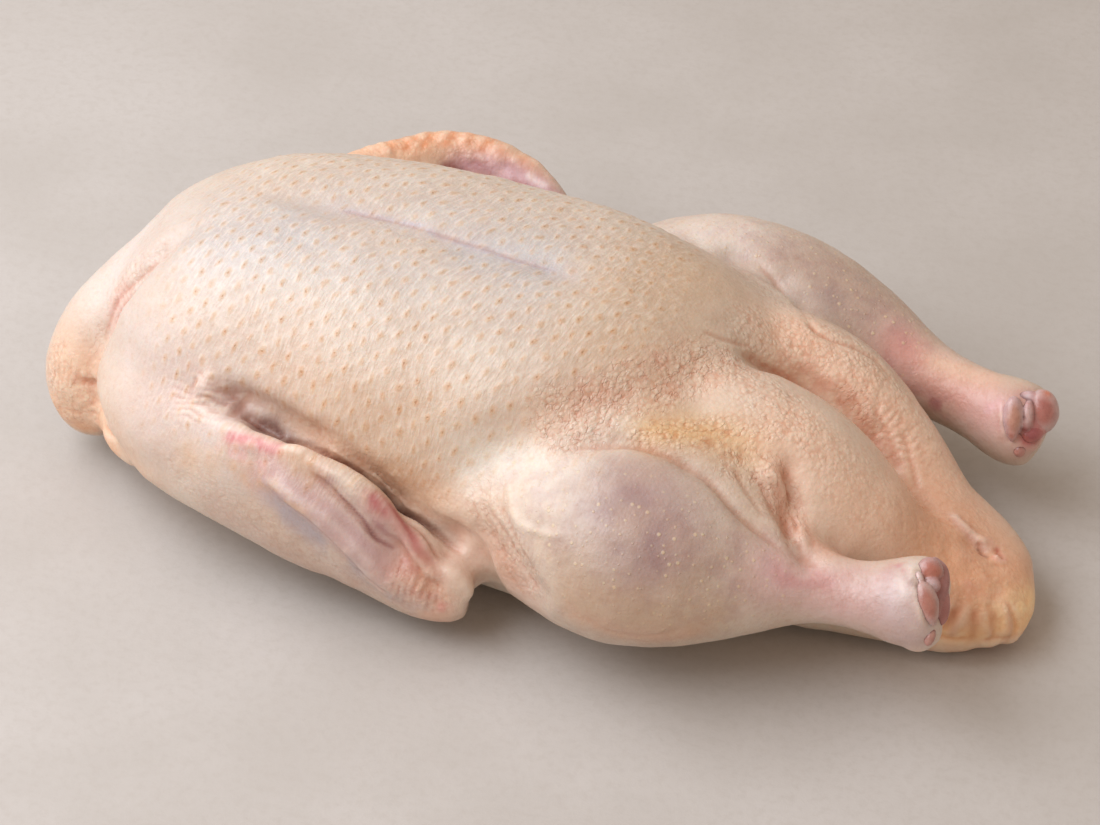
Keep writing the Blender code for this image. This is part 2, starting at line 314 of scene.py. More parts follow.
# ---------------- skin mesh
FORMS = (
    # centre, radii and turn in degrees of each small rounded form that is fused on
    ((162.0, -65.5, 38.5), (6.5, 4.0, 5.0), (0, 0, 0)),
    ((-6.0, -84.0, 23.0), (2.6, 2.6, 3.0), (0, 0, 0)),
    ((-62.0, -74.5, 69.5), (7.5, 2.6, 3.0), (0, 14, 4)),
    ((170.5, 2.0, 32.5), (4.0, 2.0, 2.0), (0, 25, 20)),
    ((177.0, -2.0, 29.0), (3.2, 1.8, 2.0), (0, 30, 20)),
)
TUBES = (
    # radius at the start, radius at the end, line of each long form that is fused on
    (1.8, 2.2, ((-92, -72, 66), (-82, -74, 68.5), (-72, -74, 69))),
    (2.2, 1.8, ((-62, -74, 69), (-52, -75, 67.5), (-44, -76, 65.5), (-37, -77, 62.5), (-29, -79, 56.5),
        (-22, -80, 48.5), (-16, -82, 40.5), (-9, -83, 34.5))),
    (1.7, 1.6, ((-71, -81, 60.5), (-58, -84, 56.5), (-47, -85.5, 51), (-39, -86.5, 44.5), (-31, -87, 37.5),
        (-24, -86, 31.5))),
    (1.2, 1.2, ((-97, -63, 68), (-91, -66, 70), (-85, -68, 70))),
    (1.1, 1.1, ((-99, -67, 66), (-92, -69, 68.5), (-85, -71, 69.5))),
)


def fused(mesh, voxel=VOXEL):
    """The mesh's volume in small even faces, as one closed skin."""
    obj = linked("voxels", mesh)
    voxels = obj.modifiers.new("voxels", "REMESH")
    voxels.mode = "VOXEL"
    voxels.voxel_size = voxel
    graph = bpy.context.evaluated_depsgraph_get()
    result = bpy.data.meshes.new_from_object(obj.evaluated_get(graph))
    bpy.data.objects.remove(obj)
    result.polygons.foreach_set("use_smooth", np.ones(len(result.polygons), bool))
    return result


def add_ball(work, centre, radii, turn=(0, 0, 0), facets=3):
    matrix = (Matrix.Translation(placed(centre))
              @ Euler([math.radians(angle) for angle in turn]).to_matrix().to_4x4()
              @ Matrix.Diagonal([radius * METRES_PER_DRAWN_MM for radius in radii] + [1.0]))
    bmesh.ops.create_icosphere(work, subdivisions=facets, radius=1.0, matrix=matrix)


def fine_mesh(node):
    """The CAD solid's surface, worn smooth, with the small forms fused on."""
    mesh = node.data.copy()
    work = bmesh.new()
    work.from_mesh(mesh)
    bmesh.ops.remove_doubles(work, verts=work.verts, dist=1e-6)
    work.to_mesh(mesh)
    work.free()
    mesh = fused(mesh)
    Skin(mesh).rounded(SMOOTH_STEPS)
    work = bmesh.new()
    work.from_mesh(mesh)
    for centre, radii, turn in FORMS:
        add_ball(work, centre, radii, turn)
    for start, end, line in TUBES:
        spots = smooth_line(line, 1.0)
        for spot, radius in zip(spots, np.linspace(start, end, len(spots))):
            add_ball(work, spot, (radius,) * 3, facets=2)
    work.to_mesh(mesh)
    work.free()
    return linked("duck_skin", fused(mesh))


# ---------------- folds
CREASES = (
    # spread, depth, line. A negative depth is a ridge.
    # round the top of the near drumstick
    (1.5, 0.9, ((28, -57, 82), (53, -49, 86), (68, -50, 84), (83, -52, 79), (96, -58, 72), (120, -62, 59))),
    # the fold beside the near lobe is filled, then cut again as a narrow line
    (4.4, -3.8, ((97, -34, 79), (101, -37, 74), (104, -38, 67), (108, -41, 61), (113, -48, 58),
        (119, -57, 57))),
    (1.1, 1.3, ((104, -36, 72), (108, -40, 65), (112, -45, 60), (116, -52, 58), (120, -58, 57))),
    (1.1, 0.7, ((94, -40, 79), (101, -44, 71), (107, -50, 64))),
    (1.1, 0.6, ((88, -42, 80), (96, -48, 73), (104, -54, 65))),
    (1.1, 0.5, ((112, -38, 68), (117, -45, 60), (121, -52, 55))),
    # the keel
    (1.2, 0.45, ((-84, 7, 121), (-56, 6, 121), (-30, 5, 119), (-8, 3, 117), (12, 1, 114))),
    # between the lobes
    (1.8, 2.6, ((74, 6, 92), (84, 14, 83), (97, 22, 69), (119, 18, 54), (133, 9, 48), (152, 1, 42))),
    (1.5, 1.0, ((118, 30, 64), (126, 22, 57), (134, 12, 50))),
    (1.3, 0.8, ((132, 26, 58), (138, 17, 51), (144, 7, 45))),
    (1.2, 0.7, ((60, 4, 99), (70, 8, 95), (80, 16, 88))),
    # beside the far thigh
    (1.6, 1.2, ((55, 82, 82), (69, 76, 78), (81, 66, 77), (94, 42, 82), (114, 46, 72), (125, 42, 64))),
    # the neck
    (1.1, 0.6, ((-139, -15, 98), (-148, -18, 89), (-157, -19, 78), (-162, -19, 66), (-164, -21, 57))),
    (1.0, 0.5, ((-143, -22, 95), (-153, -22, 80), (-160, -22, 68))),
    (1.8, 2.6, ((-174, -26, 44), (-168, -26, 42), (-160, -34, 44), (-154, -43, 46), (-149, -49, 42))),
    (1.4, 1.2, ((-160, -34, 30), (-152, -44, 34), (-148, -50, 40))),
    # the armpit, and the gap between the wing and the body
    (4.6, -2.8, ((-66, -61, 66), (-56, -61, 64), (-45, -61, 60), (-34, -61, 52), (-24, -64, 48),
        (-12, -67, 46))),
    (5.6, -3.6, ((-110, -54, 77), (-104, -56, 75), (-98, -57, 71), (-92, -58, 69))),
    (1.9, 2.8, ((-93, -58, 69), (-86, -59, 68), (-80, -60, 66), (-73, -62, 65))),
    (1.2, 3.4, ((-74, -62, 65), (-66, -63, 64), (-59, -64, 64), (-52, -65, 62), (-44, -65, 58),
        (-36, -66, 52), (-28, -67, 47), (-18, -69, 45), (-8, -71, 40), (1, -73, 36))),
    (0.9, 0.4, ((-104, -54, 76), (-97, -55, 73), (-90, -57, 71))),
    (0.9, 0.4, ((-102, -58, 74), (-95, -59, 71), (-88, -61, 69))),
    # the near wing: the red groove, the lobe behind the tip, and the line below the bone
    (1.2, 1.5, ((-58, -79, 67), (-49, -80, 61), (-43, -81, 57), (-37, -82, 52), (-31, -82, 45),
        (-25, -81, 40))),
    (1.3, 1.4, ((-32, -71, 57), (-24, -73, 51), (-15, -77, 43), (-6, -80, 36))),
    (1.2, 0.5, ((-70, -84, 55), (-58, -87, 51), (-47, -88, 44), (-38, -88, 37), (-28, -88, 30))),
    (1.0, 0.9, ((-38, -88, 35), (-31, -88, 30), (-24, -87, 27))),
    # the tail
    (1.0, 0.3, ((140, -12, 57), (143, -17, 53), (144, -22, 48))),
    (1.0, 0.3, ((147, -10, 50), (149, -15, 46), (148, -20, 42))),
    (0.9, 1.3, ((168, 0, 34), (172, -3, 31))),
    (0.8, 1.0, ((174, 1, 31), (178, -2, 28))),
    (1.4, -0.9, ((156, 6, 40), (164, 2, 37), (172, 0, 33))),
    (1.2, 0.8, ((160, -33, 14), (168, -32, 13), (174, -30, 13))),
    (1.2, 0.9, ((178, -28, 12), (184, -25, 12), (188, -21, 10))),
    # the skin sinks where the bone ends come out, and stands up in a lip beside them
    (4.6, 2.6, ((162, -53, 60), (165, -58, 59), (166, -63, 56), (167, -66, 52))),
    (3.6, 2.2, ((169, -52, 56), (170, -57, 53), (169, -62, 49))),
    (1.1, -0.8, ((157, -54, 61), (158, -58, 61), (160, -63, 60), (162, -67, 56), (165, -70, 51),
        (167, -70, 47))),
    (4.8, 3.4, ((172, 66, 49), (175, 69, 47), (176, 71, 43))),
    (3.8, 2.6, ((166, 60, 47), (168, 58, 42), (173, 61, 39), (176, 64, 38))),
    (1.1, -0.8, ((160, 65, 51), (161, 62, 48), (162, 59, 44), (165, 57, 38))),
    # the pouch of skin ahead of the near thigh
    (1.2, 0.5, ((6, -70, 62), (15, -78, 59), (21, -82, 53), (26, -85, 48), (32, -88, 43))),
    (1.0, 0.4, ((10, -68, 66), (20, -77, 62), (28, -83, 56), (34, -88, 50))),
    (1.5, -0.7, ((12, -66, 74), (21, -80, 65), (33, -86, 67), (43, -88, 69))),
    (1.4, 0.4, ((48, -97, 46), (60, -96, 38), (74, -93, 37), (88, -89, 42))),
)
RIPPLES = (
    # spacing, height, reach, line that they cross
    (7.4, 0.4, 8.0, ((-106, 112, 75), (-97, 121, 76), (-87, 128, 76), (-76, 132, 75), (-63, 134, 74),
        (-50, 130, 71))),
    (6.8, 1.1, 6.5, ((156, -31, 21), (168, -30, 20), (175, -28, 19), (181, -25, 18), (186, -22, 16),
        (190, -18, 16))),
    (3.0, 0.32, 12.0, ((108, 20, 70), (118, 22, 64), (128, 20, 57), (138, 14, 51))),
    (2.8, 0.42, 11.0, ((-104, -44, 78), (-106, -56, 73), (-106, -66, 66))),
    (3.2, 0.30, 11.0, ((-166, -34, 40), (-172, -26, 40), (-182, -16, 40))),
    (2.6, 0.30, 9.0, ((-146, -12, 92), (-156, -20, 84), (-166, -26, 74))),
    (2.6, 0.38, 8.0, ((-26, -86, 32), (-16, -85, 30), (-6, -83, 27))),
    (2.4, 0.25, 8.0, ((8, -78, 60), (20, -84, 56), (34, -90, 54))),
)


def sculpt(skin):
    """The folds, then the ripples that cross some of them."""
    for spread, depth, line in CREASES:
        skin.crease(spread, depth, line)
    skin.write()
    for seed, (spacing, height, reach, line) in enumerate(RIPPLES):
        skin.ripple(spacing, height, reach, line, 100 + seed)
    skin.write()
    skin.rounded(1)


# ---------------- follicle rows
ROW_ONE = np.array((5.7, 3.8))
ROW_TWO = np.array((-5.4, 4.4))
AXIS_Y = 5.0
AXIS_Z = 45.0
ROUND_MM = 76.0
STREAK = np.array((0.28, 0.96))
ASIDE = np.array((0.96, -0.28))
PAD_ACROSS = 1.7
PAD_ALONG = 2.4
# half width, half length and raggedness of each follicle's painted pad, halo and core; the pale pad round the
# halo is a painted highlight
PAD = (2.5, 3.7, 0.5)
HALO = (1.6, 2.9, 0.8)
CORE = (0.5, 0.6, 0.4)


def lay_rows(skin):
    """Flat coordinates, u along the body and v round it from the keel, and the follicle rows on them."""
    x, y, z = skin.places.T
    wander = np.stack([2.6 * noise(skin.places, 34.0, seed) + 1.1 * noise(skin.places, 9.0, seed + 2)
                       for seed in (11, 17)], axis=1)
    u = x + wander[:, 0]
    v = np.arctan2(y - AXIS_Y, z - AXIS_Z) * ROUND_MM + wander[:, 1]
    rows = np.linalg.solve(np.stack((ROW_ONE, ROW_TWO), axis=1), np.stack((u, v)))
    skin.flat = np.stack((u, v), axis=1)
    skin.rows = rows.T
    off = skin.rows - np.round(skin.rows)
    off = off[:, :1] * ROW_ONE + off[:, 1:] * ROW_TWO
    skin.pads = np.exp(-(off @ ASIDE / PAD_ACROSS) ** 2 - (off @ STREAK / PAD_ALONG) ** 2)


# ---------------- regions
ZONES = (
    # the way its lines run, strength of its pebbles and of its lines, reach, line
    ((0.25, 0.97, 0.0), 1.0, 1.0, 12, ((28, -50, 89), (44, -38, 93), (56, -25, 96), (68, -10, 97),
        (82, 2, 93))),
    ((0.83, 0.55, 0.0), 1.0, 0.7, 8, ((56, -46, 88), (72, -39, 86), (86, -31, 86), (98, -22, 86))),
    ((0.66, -0.4, -0.69), 0.7, 0.9, 8, ((86, -40, 80), (96, -40, 76), (106, -43, 67), (112, -50, 60))),
    ((0.5, -0.6, -0.6), 1.0, 0.2, 15, ((80, 24, 88), (98, 34, 84), (112, 37, 76), (126, 34, 64))),
    ((0.6, 0.35, 0.7), 0.6, 1.0, 7, ((104, 22, 72), (118, 22, 62), (130, 18, 55))),
    ((0.7, -0.3, -0.6), 0.9, 0.3, 12, ((92, -14, 90), (106, -18, 84), (118, -22, 76))),
    ((0.7, -0.3, -0.6), 0.4, 0.1, 15, ((124, -24, 70), (138, -22, 58))),
    ((0.6, 0.6, -0.4), 0.35, 0.1, 14, ((136, 30, 58), (150, 16, 45), (160, 6, 38))),
    ((0.9, -0.3, -0.3), 0.35, 0.1, 8, ((-60, -64, 66), (-30, -66, 58), (-6, -66, 52))),
    ((0.5, -0.6, -0.6), 0.6, 0.5, 10, ((6, -70, 62), (16, -78, 56), (26, -86, 46))),
    ((0.6, 0.6, -0.4), 0.45, 0.15, 14, ((154, -14, 38), (168, -16, 30), (182, -16, 22))),
    ((-0.4, -0.1, -0.9), 0.35, 0.5, 10, ((-142, -16, 94), (-154, -20, 78), (-164, -24, 60))),
    ((0.1, -0.2, -0.97), 0.6, 0.5, 12, ((-180, -20, 44), (-176, -24, 32), (-168, -26, 22))),
    ((0.9, -0.2, -0.3), 0.4, 0.1, 9, ((-112, -72, 46), (-80, -80, 38), (-50, -86, 30), (-24, -88, 24))),
    ((0.8, 0.2, -0.5), 0.6, 0.2, 8, ((-104, 112, 74), (-86, 126, 74), (-66, 130, 72))),
    ((0.3, -0.5, -0.8), 0.6, 0.4, 7, ((-20, -86, 32), (-10, -85, 28), (-4, -82, 26))),
    ((0.7, -0.3, -0.3), 0.3, 0.2, 9, ((128, -66, 54), (144, -64, 52))),
    ((0.7, -0.3, -0.3), 0.3, 0.2, 9, ((128, 74, 50), (144, 70, 46))),
    ((-0.4, 0.1, -0.9), 0.35, 0.4, 14, ((-140, 34, 88), (-152, 34, 74), (-164, 26, 58))),
    ((0.5, 0.5, -0.6), 0.35, 0.2, 16, ((-118, 62, 70), (-104, 74, 60), (-92, 84, 54))),
    ((0.6, 0.5, -0.6), 0.4, 0.3, 12, ((40, 66, 84), (64, 62, 84), (84, 54, 82))),
    ((0.8, 0.4, -0.4), 0.35, 0.1, 14, ((-100, 122, 54), (-74, 134, 54), (-48, 132, 52))),
)


def masks(skin):
    """How strongly each kind of skin detail shows, from 0 to 1."""
    x, y, z = skin.places.T
    torso = ease(x, -146, -116) * (1 - ease(x, 34, 66)) * ease(z, 46, 64)
    legs = np.maximum(skin.near(((26, -74, 66), (60, -84, 66), (94, -78, 60)), 30),
                      skin.near(((20, 100, 70), (70, 92, 70), (106, 82, 60)), 30))
    keel = skin.near(((-97, 6, 120), (-40, 4, 120), (9, 1, 116)), 7)
    wing = np.maximum(skin.near(((-112, -74, 45), (-60, -85, 45), (-15, -85, 35)), 20),
                      skin.near(((-116, 104, 62), (-84, 126, 62), (-40, 126, 58)), 20))
    pit = skin.near(((-96, -56, 71), (-80, -60, 66), (-59, -64, 64), (-36, -66, 52), (-8, -71, 41)), 8)
    skin.torso = torso * (1 - 0.6 * keel) * (1 - 0.9 * legs) * (1 - wing) * (1 - pit)
    skin.legs = legs
    lay_net(skin)
    skin.torso *= 1 - 0.8 * skin.net
    skin.legs *= 1 - 0.6 * skin.net


def lay_net(skin):
    """The wrinkles' strength, and coordinates along and across them in the strongest zone's frame."""
    weights = np.array([skin.near(line, reach) for way, pebbles, lines, reach, line in ZONES])
    frames = []
    for way, pebbles, lines, reach, line in ZONES:
        way = np.array(way) / np.linalg.norm(way)
        side = np.cross(way, (0.0, 0.3, 1.0))
        side /= np.linalg.norm(side)
        frames.append(skin.places @ np.stack((way, side, np.cross(way, side)), axis=1))
    strongest = weights.argmax(0)
    every = np.arange(skin.count)
    skin.net_place = np.array(frames)[strongest, every]
    share = (weights / np.maximum(weights.sum(0), 1e-6)).T
    top = weights.max(0)
    strength = ease(top, 0.02, 0.75)
    skin.net = strength * (share @ np.array([zone[1] for zone in ZONES]))
    skin.lines = strength * (share @ np.array([zone[2] for zone in ZONES]))
    weights[strongest, every] = 0.0
    skin.lines *= ease(top - weights.max(0), 0.03, 0.3)


def fine_relief(skin):
    """Follicle pads, coarse bumps and the skin's own unevenness."""
    places = skin.places
    height = 0.6 * noise(places, 30.0, 3) + 0.25 * noise(places, 9.0, 5) + 0.1 * noise(places, 3.6, 7)
    for reach, amount, size, line in BUMPY:
        height += skin.near(line, reach) * amount * noise(places, size, int(size * 10))
    height += skin.torso * 0.2 * skin.pads
    height += skin.net * 0.12 * noise(places, 2.6, 71)
    skin.places += skin.normals * height[:, None]
    skin.write()
    # how much the skin bends in or out, as masks for painted shade in the hollows and painted highlight on
    # the crests
    bend = (skin.inward() * skin.normals).sum(1)
    skin.hollow = skin.soft(ease(bend, 0.02, 0.09))
    skin.crest = skin.soft(ease(-bend, 0.02, 0.09))


BUMPY = (
    # reach, height and size of the bumps, line
    (14, 0.55, 5.0, ((156, -14, 36), (170, -16, 28), (184, -16, 18))),
    (9, 0.7, 4.2, ((-104, 112, 74), (-86, 126, 74), (-66, 131, 72), (-52, 128, 70))),
    (12, 0.5, 4.6, ((-182, -20, 36), (-174, -26, 26), (-160, -34, 34), (-146, -46, 30))),
    (10, 0.35, 3.8, ((0, -72, 44), (14, -80, 50), (30, -88, 42))),
    (9, 0.3, 3.6, ((-22, -85, 34), (-8, -84, 26))),
    (10, 0.2, 4.4, ((-110, -74, 46), (-70, -82, 38), (-40, -87, 28))),
    (9, 0.2, 4.4, ((-76, -60, 70), (-44, -63, 64), (-16, -65, 58))),
    (8, 0.3, 3.6, ((150, -62, 52), (160, -64, 46))),
)


# ---------------- colours
CREAM = (216, 200, 184)
TAIL_GROOVES = (
    # strength, line
    (0.55, ((168, -30, 24), (168, -32, 15))),
    (0.55, ((175, -28, 23), (175, -30, 14))),
    (0.55, ((181, -25, 22), (181, -27, 13))),
    (0.55, ((186, -21, 20), (187, -23, 12))),
    (0.45, ((160, -31, 25), (160, -33, 15))),
)
WING_RIBS = (
    # strength, line
    (0.65, ((-101, 116, 76), (-101, 122, 75))),
    (0.65, ((-96, 119, 75), (-95, 124, 75))),
    (0.65, ((-89, 123, 75), (-89, 129, 75))),
    (0.7, ((-82, 127, 75), (-81, 134, 75))),
    (0.65, ((-75, 129, 74), (-75, 136, 74))),
    (0.65, ((-68, 131, 73), (-67, 137, 73))),
)
PAINT = (
    # colour, strength, radius, line, and the size of its patches where it has them
    # breast
    ((193, 189, 190), 0.9, 34, ((-110, -10, 112), (-60, 0, 118), (0, 0, 114), (30, 0, 108))),
    ((216, 195, 180), 0.85, 26, ((-130, -50, 80), (-100, -56, 80), (-68, -60, 82))),
    ((228, 215, 208), 0.8, 18, ((-138, -46, 82), (-122, -54, 79))),
    ((220, 191, 166), 0.8, 20, ((-68, -60, 80), (-22, -61, 81), (6, -62, 74))),
    ((228, 192, 162), 0.6, 10, ((-66, -66, 64), (-44, -66, 61))),
    ((216, 174, 138), 0.75, 12, ((-32, -66, 60), (-8, -66, 58), (8, -70, 50))),
    ((230, 205, 185), 0.6, 12, ((-78, -60, 80), (-62, -60, 82))),
    ((209, 180, 150), 0.8, 26, ((40, 0, 107), (44, 30, 104), (40, -24, 100))),
    ((226, 200, 172), 0.35, 30, ((-120, 0, 108), (-60, 0, 118), (0, 0, 114), (40, 0, 106)), 22),
    ((198, 192, 198), 0.35, 5.0, ((-80, 7, 121), (-56, 6, 121), (-30, 5, 119), (-8, 3, 117),
        (14, 1, 114))),
    ((184, 176, 196), 0.45, 1.4, ((-76, 7, 121), (-52, 6, 121), (-34, 5, 119), (-14, 3, 117),
        (6, 2, 115))),
    # neck
    ((228, 216, 210), 0.7, 24, ((-155, -10, 90), (-166, -16, 72), (-160, 10, 85))),
    ((240, 190, 182), 0.5, 9, ((-145, -14, 94), (-156, -16, 80), (-164, -18, 66), (-168, -20, 56)), 12),
    ((244, 210, 182), 0.9, 18, ((-176, -24, 46), (-172, -26, 32), (-158, -40, 36), (-143, -56, 34))),
    ((244, 188, 144), 0.75, 6, ((-186, -22, 26), (-178, -23, 18), (-168, -26, 20), (-158, -36, 24),
        (-146, -48, 24)), 9),
    ((206, 146, 116), 0.6, 2.2, ((-174, -26, 44), (-168, -26, 42), (-160, -34, 44), (-154, -43, 46))),
    ((222, 150, 126), 0.4, 1.1, ((-139, -15, 98), (-148, -18, 89), (-157, -19, 78), (-162, -19, 66)), 5),
    # shoulder
    ((220, 202, 196), 0.8, 22, ((-125, -60, 64), (-108, -64, 66), (-96, -68, 68))),
    ((208, 178, 174), 0.7, 7, ((-112, -52, 74), (-104, -58, 73), (-96, -60, 71)), 7),
    ((226, 192, 160), 0.7, 12, ((-104, -72, 58), (-92, -76, 56), (-80, -80, 54)), 10),
    # near wing
    ((194, 158, 160), 0.85, 12, ((-72, -82, 62), (-58, -86, 58), (-40, -88, 48), (-24, -88, 38))),
    ((178, 168, 176), 0.8, 8, ((-66, -85, 48), (-50, -87, 40), (-36, -87, 30)), 9),
    ((200, 174, 160), 0.75, 12, ((-95, -78, 36), (-69, -81, 28), (-45, -85, 20))),
    ((214, 172, 138), 0.7, 4, ((-87, -77, 60), (-76, -80, 59), (-66, -85, 57), (-58, -88, 53)), 4),
    ((222, 202, 198), 0.6, 1.7, ((-72, -83, 62), (-58, -86, 58), (-47, -87, 53), (-39, -88, 46),
        (-31, -89, 39))),
    ((190, 142, 146), 0.7, 3.2, ((-56, -77, 67), (-44, -78, 62), (-33, -80, 54), (-26, -82, 46)), 6),
    ((132, 74, 84), 0.65, 1.0, ((-58, -79, 67), (-50, -80, 62), (-43, -81, 57), (-37, -82, 52),
        (-31, -82, 45), (-26, -81, 41))),
    ((178, 74, 84), 0.9, 4.2, ((-34, -78, 58), (-27, -79, 53), (-20, -80, 47), (-13, -82, 40))),
    ((212, 124, 130), 0.85, 2.6, ((-90, -72, 68), (-82, -74, 70), (-76, -75, 70), (-70, -75, 70))),
    ((226, 184, 180), 0.8, 3.6, ((-92, -75, 64), (-82, -77, 66), (-74, -79, 66)), 4),
    ((226, 192, 166), 0.8, 3.6, ((-66, -75, 70), (-60, -77, 69), (-56, -79, 66))),
    ((216, 170, 146), 0.8, 10, ((-16, -84, 34), (-10, -84, 26), (-8, -80, 20))),
    ((200, 138, 128), 0.6, 6, ((-20, -83, 38), (-14, -84, 32), (-8, -83, 27)), 4),
    ((196, 178, 178), 0.5, 6, ((-22, -87, 26), (-12, -85, 20)), 6),
    # armpit and the gap beside the wing: painted shade in the hollow, on the wall above the gap and along the
    # gap
    ((106, 66, 62), 0.88, 5.2, ((-85, -59, 67), (-80, -60, 66), (-74, -62, 65))),
    ((186, 150, 142), 0.5, 3.4, ((-98, -56, 72), (-92, -58, 69), (-86, -59, 68))),
    ((168, 124, 100), 0.5, 4.5, ((-60, -63, 65), (-45, -62, 60), (-34, -62, 53), (-21, -65, 48),
        (-9, -68, 43))),
    ((120, 76, 62), 0.7, 1.6, ((-72, -62, 65), (-59, -64, 64), (-52, -65, 62), (-44, -65, 58))),
    ((84, 46, 38), 0.9, 2.6, ((-44, -65, 58), (-36, -66, 52), (-28, -67, 47), (-18, -69, 45),
        (-8, -71, 41))),
    # pouch and flank
    ((222, 192, 176), 0.8, 13, ((-4, -72, 42), (6, -74, 46), (14, -80, 44), (24, -86, 40))),
    ((230, 220, 208), 0.95, 16, ((4, -60, 70), (16, -56, 78), (36, -48, 87), (30, -66, 72))),
    ((196, 154, 130), 0.7, 6, ((14, -80, 45), (20, -83, 42))),
    ((240, 214, 196), 0.5, 5, ((-1, -70, 44), (5, -71, 45))),
    ((236, 220, 204), 0.5, 3, ((-2, -64, 66), (6, -70, 64), (15, -78, 60), (22, -82, 54), (30, -88, 46)), 3),
    # near thigh and drumstick
    ((182, 156, 150), 0.9, 24, ((62, -72, 78), (74, -81, 72), (70, -90, 60))),
    ((160, 134, 138), 0.5, 16, ((60, -76, 76), (76, -84, 68), (90, -80, 62)), 9),
    ((178, 152, 138), 0.5, 20, ((40, -80, 66), (60, -90, 56), (84, -88, 54)), 6),
    ((210, 184, 160), 0.8, 13, ((50, -95, 50), (71, -95, 46), (92, -90, 46))),
    ((218, 176, 150), 0.45, 5, ((48, -97, 42), (60, -97, 38), (74, -93, 36), (88, -88, 38))),
    # belly
    ((228, 200, 178), 0.8, 12, ((20, -50, 88), (40, -38, 95), (54, -24, 95), (70, -10, 92))),
    ((214, 170, 148), 0.5, 9, ((34, -42, 91), (48, -30, 95), (62, -16, 96), (78, -2, 92)), 6),
    ((222, 182, 126), 0.8, 9, ((60, -42, 88), (76, -36, 86), (92, -33, 82))),
    ((244, 214, 192), 0.9, 22, ((106, -22, 82), (123, -27, 70), (138, -24, 58))),
    ((218, 160, 132), 0.6, 6, ((104, -36, 74), (112, -46, 62), (122, -50, 56), (132, -46, 52))),
    ((244, 208, 184), 0.9, 20, ((90, 34, 82), (110, 30, 70), (126, 25, 60), (146, 14, 46))),
    ((214, 152, 126), 0.5, 6, ((88, 18, 80), (102, 24, 71), (116, 22, 61), (130, 15, 53)), 5),
    # tail
    ((226, 176, 144), 0.8, 22, ((150, -4, 44), (166, 2, 34), (180, -3, 25), (188, -8, 20))),
    ((232, 176, 138), 0.85, 20, ((160, -20, 34), (176, -22, 24), (188, -20, 18))),
    ((255, 226, 176), 0.85, 8, ((184, -20, 20), (190, -14, 18), (191, -8, 17))),
    ((226, 170, 150), 0.5, 8, ((166, -18, 32), (176, -18, 26), (182, -16, 21)), 5),
    ((252, 206, 152), 0.8, 6, ((150, -31, 15), (164, -30, 14), (180, -25, 13), (190, -18, 14),
        (191, -10, 14))),
    ((238, 212, 190), 0.7, 4, ((152, -34, 9), (166, -32, 8), (180, -28, 7), (188, -22, 8))),
    *[((204, 134, 92), strength, 1.6, line) for strength, line in TAIL_GROOVES],
    ((234, 206, 196), 0.7, 2.2, ((158, 4, 39), (164, 1, 36), (171, -1, 32))),
    ((196, 110, 92), 0.7, 1.2, ((175, 1, 31), (178, -1, 29))),
    ((150, 92, 74), 0.7, 0.9, ((170, -2, 32), (172, -3, 31))),
    # near shank and knuckle
    ((218, 182, 180), 0.9, 13, ((112, -70, 58), (131, -66, 52), (150, -62, 48))),
    ((204, 142, 144), 0.5, 6, ((116, -70, 58), (134, -66, 54), (148, -60, 56)), 5),
    ((206, 183, 182), 0.9, 12, ((154, -62, 52), (160, -66, 46))),
    ((236, 224, 220), 0.7, 4, ((155, -58, 60), (157, -64, 57)), 3),
    ((206, 118, 126), 0.6, 2.4, ((151, -55, 60), (153, -58, 60)), 2.5),
    ((178, 124, 116), 0.9, 3.5, ((165, -58, 57), (168, -62, 50))),
    # painted shade where the near bone end meets the skin
    ((120, 72, 70), 0.7, 0.9, ((158, -62, 60), (160, -63, 59))),
    # far thigh, shank and knuckle
    ((232, 220, 212), 0.9, 24, ((40, 88, 84), (56, 88, 82))),
    ((194, 172, 160), 0.9, 20, ((76, 90, 76), (96, 84, 70), (112, 78, 60))),
    ((164, 140, 142), 0.55, 15, ((72, 90, 78), (92, 86, 70), (108, 78, 60)), 9),
    ((220, 162, 152), 0.9, 12, ((120, 76, 56), (132, 72, 50), (146, 70, 44))),
    ((180, 104, 114), 0.7, 6, ((112, 66, 56), (124, 62, 48), (136, 60, 42)), 5),
    ((240, 206, 184), 0.8, 7, ((132, 76, 52), (142, 76, 48), (152, 74, 46))),
    ((220, 176, 170), 0.9, 12, ((158, 66, 42), (168, 64, 38))),
    ((226, 176, 184), 0.6, 4, ((158, 64, 48), (162, 62, 46)), 3),
    ((196, 146, 138), 0.9, 5, ((168, 69, 49), (172, 71, 48), (176, 71, 44), (179, 73, 39))),
    ((180, 116, 110), 0.9, 4, ((169, 62, 45), (172, 62, 39))),
    ((186, 78, 84), 0.85, 3.2, ((176, 62, 40), (173, 59, 37))),
    ((160, 52, 58), 0.7, 1.6, ((174, 62, 42), (175, 64, 40)), 2.5),
    ((226, 166, 156), 0.7, 2.6, ((178, 68, 36), (174, 62, 32)), 3),
    # far wing
    ((236, 190, 156), 0.9, 13, ((-112, 110, 74), (-97, 119, 76), (-84, 129, 76), (-66, 131, 73),
        (-50, 128, 70))),
    *[((234, 156, 104), strength, 2.0, line) for strength, line in WING_RIBS],
    ((232, 160, 120), 0.5, 4.0, ((-60, 132, 72), (-50, 130, 70)), 4),
    ((176, 128, 140), 0.9, 6.5, ((-74, 123, 68), (-64, 125, 68), (-50, 125, 66), (-36, 122, 62))),
    ((218, 184, 192), 0.7, 3, ((-70, 126, 70), (-60, 126, 68), (-52, 125, 66)), 4),
    # painted highlight: a white glint on the inner side of the far wing
    ((236, 224, 226), 0.7, 1.6, ((-46, 126, 67), (-40, 125, 65))),
    # painted shade in the dark gap on the inner side of the far wing
    ((140, 84, 80), 0.85, 2.2, ((-80, 121, 68), (-76, 122, 67), (-72, 119, 65))),
)
FORM_PAINT = (
    # colour, inside and outside of its edge as shares of the form's radii, number of the form
    ((216, 160, 146), 0.9, 1.2, 1),
    ((228, 178, 154), 0.9, 1.2, 3),
    ((226, 172, 148), 0.9, 1.2, 4),
)


